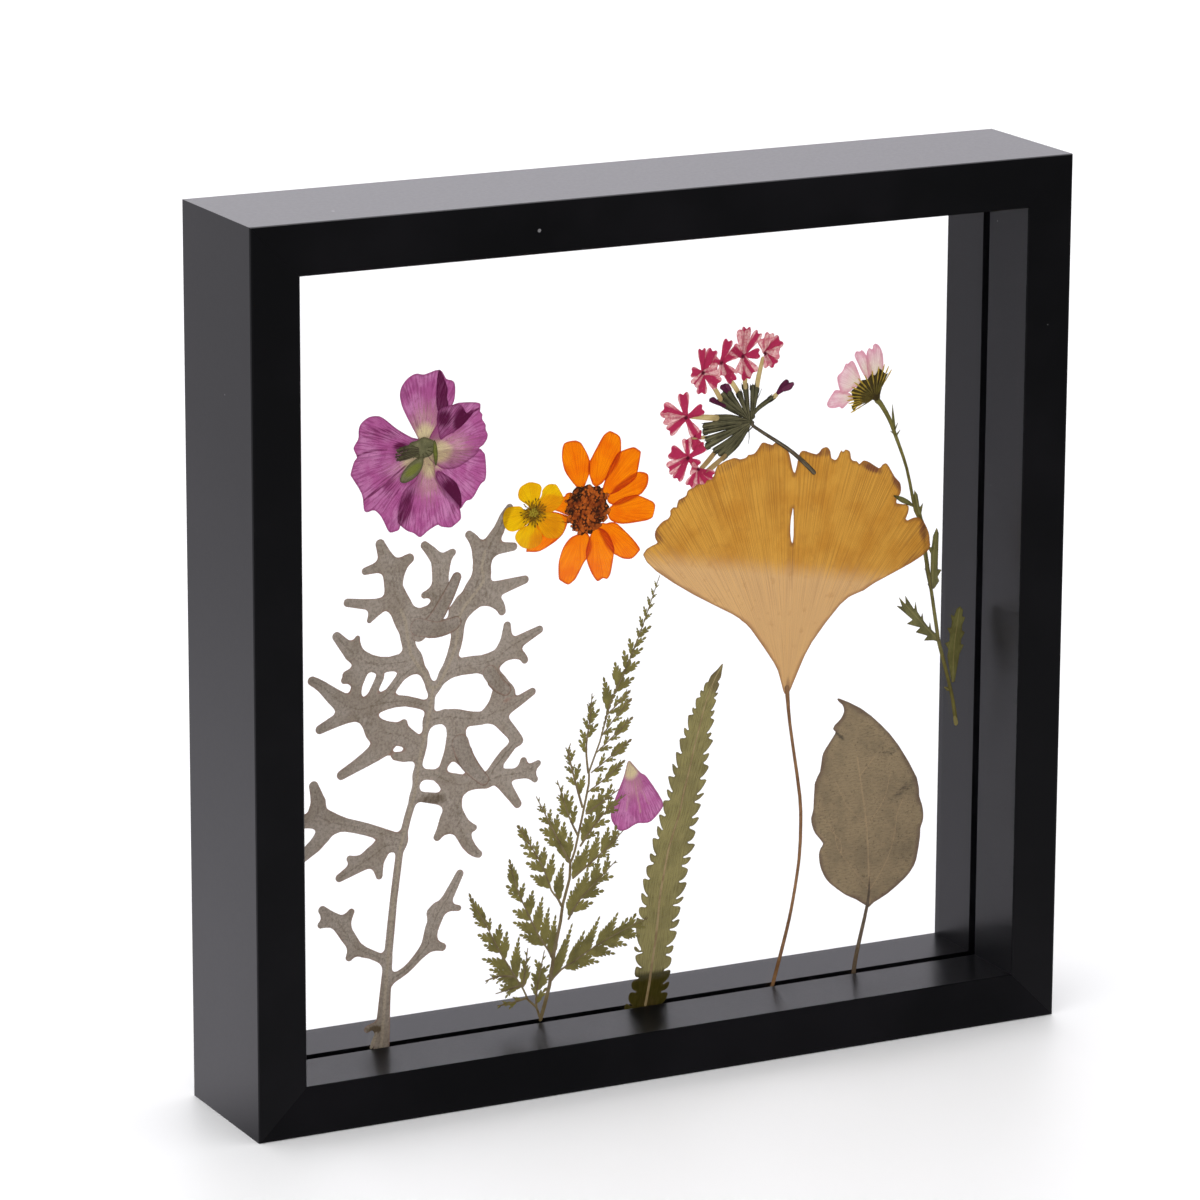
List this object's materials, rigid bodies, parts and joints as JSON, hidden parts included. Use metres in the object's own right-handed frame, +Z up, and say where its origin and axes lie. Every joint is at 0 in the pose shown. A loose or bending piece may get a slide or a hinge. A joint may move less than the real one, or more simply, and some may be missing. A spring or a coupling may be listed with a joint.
{
  "type": "pressed flower frame",
  "caption": "Black wooden floating frame that stands by itself and holds pressed flowers, ferns and leaves flat between two panes of clear glass.",
  "frame": {"origin": "middle of the footprint, on the surface that the bottom rail stands on", "axes": "+X to the right seen from the front, +Y from the front to the back, +Z up"},
  "size_m": [0.25, 0.0454, 0.252],
  "materials": {
    "black_paint": "satin black paint",
    "clear_glass": "polished",
    "orange_petal": "dried petal",
    "rust_seeds": "granular",
    "yellow_petal": "dried petal",
    "olive_stamens": "granular",
    "mallow_purple": "dried petal",
    "calyx_green": "dried leaf",
    "gold_leaf": "dried leaf",
    "brown_leaf": "dried leaf",
    "felt_grey": "felted",
    "fern_olive": "dried leaf",
    "lace_olive": "dried leaf",
    "verbena_green": "dried leaf",
    "bud_purple": "dried petal",
    "verbena_red": "dried petal",
    "daisy_pink": "dried petal",
    "daisy_green": "dried leaf"
  },
  "bodies": {
    "root": {"rail_bottom": "black_paint", "rail_top": "black_paint", "rail_left": "black_paint", "rail_right": "black_paint", "glass_front": "clear_glass", "glass_back": "clear_glass", "zinnia_petal_1": "orange_petal", "zinnia_petal_2": "orange_petal", "zinnia_petal_3": "orange_petal", "zinnia_petal_4": "orange_petal", "zinnia_petal_5": "orange_petal", "zinnia_petal_6": "orange_petal", "zinnia_petal_7": "orange_petal", "zinnia_petal_8": "orange_petal", "zinnia_petal_9": "orange_petal", "zinnia_petal_10": "orange_petal", "zinnia_disc": "rust_seeds", "buttercup_petal_1": "yellow_petal", "buttercup_petal_2": "yellow_petal", "buttercup_petal_3": "yellow_petal", "buttercup_petal_4": "yellow_petal", "buttercup_petal_5": "yellow_petal", "buttercup_stamens": "olive_stamens", "mallow_petal_1": "mallow_purple", "mallow_petal_2": "mallow_purple", "mallow_petal_3": "mallow_purple", "mallow_petal_4": "mallow_purple", "mallow_petal_5": "mallow_purple", "mallow_calyx": "calyx_green", "mallow_loose_petal": "mallow_purple", "ginkgo_leaf": "gold_leaf", "brown_leaf": "brown_leaf", "dusty_miller_leaf": "felt_grey", "sword_fern_frond": "fern_olive", "lace_fern_frond": "lace_olive", "verbena_stem": "verbena_green", "verbena_bud_1": "bud_purple", "verbena_bud_2": "bud_purple", "verbena_bud_3": "bud_purple", "verbena_floret_1": "verbena_red", "verbena_floret_2": "verbena_red", "verbena_floret_3": "verbena_red", "verbena_floret_4": "verbena_red", "verbena_floret_5": "verbena_red", "verbena_floret_6": "verbena_red", "verbena_floret_7": "verbena_red", "verbena_floret_8": "verbena_red", "daisy_petal_1": "daisy_pink", "daisy_petal_2": "daisy_pink", "daisy_petal_3": "daisy_pink", "daisy_petal_4": "daisy_pink", "daisy_head": "daisy_green", "daisy_stem": "daisy_green", "daisy_front_leaf": "daisy_green"}
  },
  "joints": []
}
